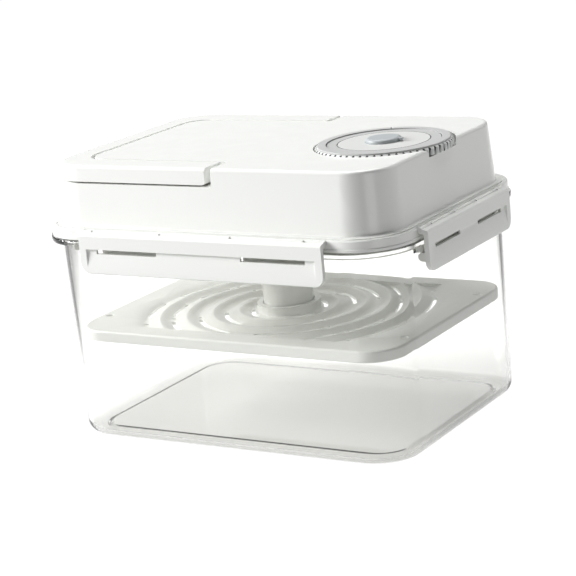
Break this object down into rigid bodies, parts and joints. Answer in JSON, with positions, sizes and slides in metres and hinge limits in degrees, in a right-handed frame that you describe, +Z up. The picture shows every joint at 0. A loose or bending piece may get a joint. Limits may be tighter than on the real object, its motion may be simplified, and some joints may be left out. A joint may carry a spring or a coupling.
{
  "type": "kimchi container",
  "caption": "Clear rectangular food tub with a tall white latching lid, a folding bail handle, a ribbed thumb dial and a stem-hung press plate with drain slots.",
  "frame": {"origin": "centre of the tub's base, on the surface it stands on", "axes": "+X along the long side towards the dial, +Y from front to back, +Z up"},
  "size_m": [0.354, 0.256, 0.2385],
  "materials": {
    "clear_tub": "clear polished copolyester",
    "white_lid": "glossy white polypropylene",
    "white_latch": "satin white polypropylene",
    "white_inner": "white polypropylene",
    "white_plate": "white polypropylene",
    "dial_grey": "satin pale grey ABS",
    "cap_grey": "satin light grey ABS",
    "button_grey": "satin blue-grey ABS",
    "gear_resin": "natural acetal",
    "seal": "translucent silicone",
    "steel": "stainless steel"
  },
  "bodies": {
    "container": {"tub": "clear_tub", "lid_cover": "white_lid", "lid_liner": "white_inner", "lid_gasket": "seal", "liner_screws": "steel", "hinge_rod_front": "steel", "hinge_rod_back": "steel", "hinge_rod_left": "steel", "hinge_rod_right": "steel", "dial_post": "white_inner", "dial_cap": "cap_grey", "tube_bush": "white_inner"},
    "handle": {"handle": "white_lid"},
    "front_latch": {"latch_front": "white_latch"},
    "back_latch": {"latch_back": "white_latch"},
    "left_latch": {"latch_left": "white_latch"},
    "right_latch": {"latch_right": "white_latch"},
    "dial": {"dial_wheel": "dial_grey", "dial_gear": "gear_resin"},
    "lift": {"lift_tube": "gear_resin", "stem_wiper": "seal"},
    "press": {"press_plate": "white_plate", "press_stem": "white_plate", "stem_follower": "gear_resin", "plate_screws": "steel"},
    "vent": {"vent_button": "button_grey", "vent_spring": "steel", "vent_valve": "seal"}
  },
  "joints": [
    {"name": "handle_fold", "type": "hinge", "parent": "container", "child": "handle", "pos_m": [-0.003, 0, 0.2276], "axis": [0, 1, 0], "range_deg": [0, 90]},
    {"name": "front_latch_swing", "type": "hinge", "parent": "container", "child": "front_latch", "pos_m": [0, -0.1198, 0.1813], "axis": [-1, 0, 0], "range_deg": [0, 105]},
    {"name": "back_latch_swing", "type": "hinge", "parent": "container", "child": "back_latch", "pos_m": [0, 0.1198, 0.1813], "axis": [1, 0, 0], "range_deg": [0, 105]},
    {"name": "left_latch_swing", "type": "hinge", "parent": "container", "child": "left_latch", "pos_m": [-0.1688, 0, 0.1813], "axis": [0, 1, 0], "range_deg": [0, 105]},
    {"name": "right_latch_swing", "type": "hinge", "parent": "container", "child": "right_latch", "pos_m": [0.1688, 0, 0.1813], "axis": [0, -1, 0], "range_deg": [0, 105]},
    {"name": "press_travel", "type": "slide", "parent": "container", "child": "press", "axis": [0, 0, 1], "range_m": [-0.061, 0.02]},
    {"name": "dial_turn", "type": "hinge", "parent": "container", "child": "dial", "pos_m": [0.1048, 0, 0.232], "axis": [0, 0, 1], "range_deg": [-639, 210]},
    {"name": "lift_turn", "type": "hinge", "parent": "container", "child": "lift", "pos_m": [0, 0, 0.2], "axis": [0, 0, 1], "range_deg": [-181, 550]},
    {"name": "vent_press", "type": "slide", "parent": "container", "child": "vent", "axis": [0, 0, -1], "range_m": [0, 0.0022], "stiffness_N_per_m": 300, "springref_m": -0.003, "deforming": ["vent_spring"]}
  ],
  "couplings": [
    {"joint": "lift_turn", "follows": "press_travel", "rad_per_m": -157.08},
    {"joint": "dial_turn", "follows": "press_travel", "rad_per_m": 182.55}
  ]
}
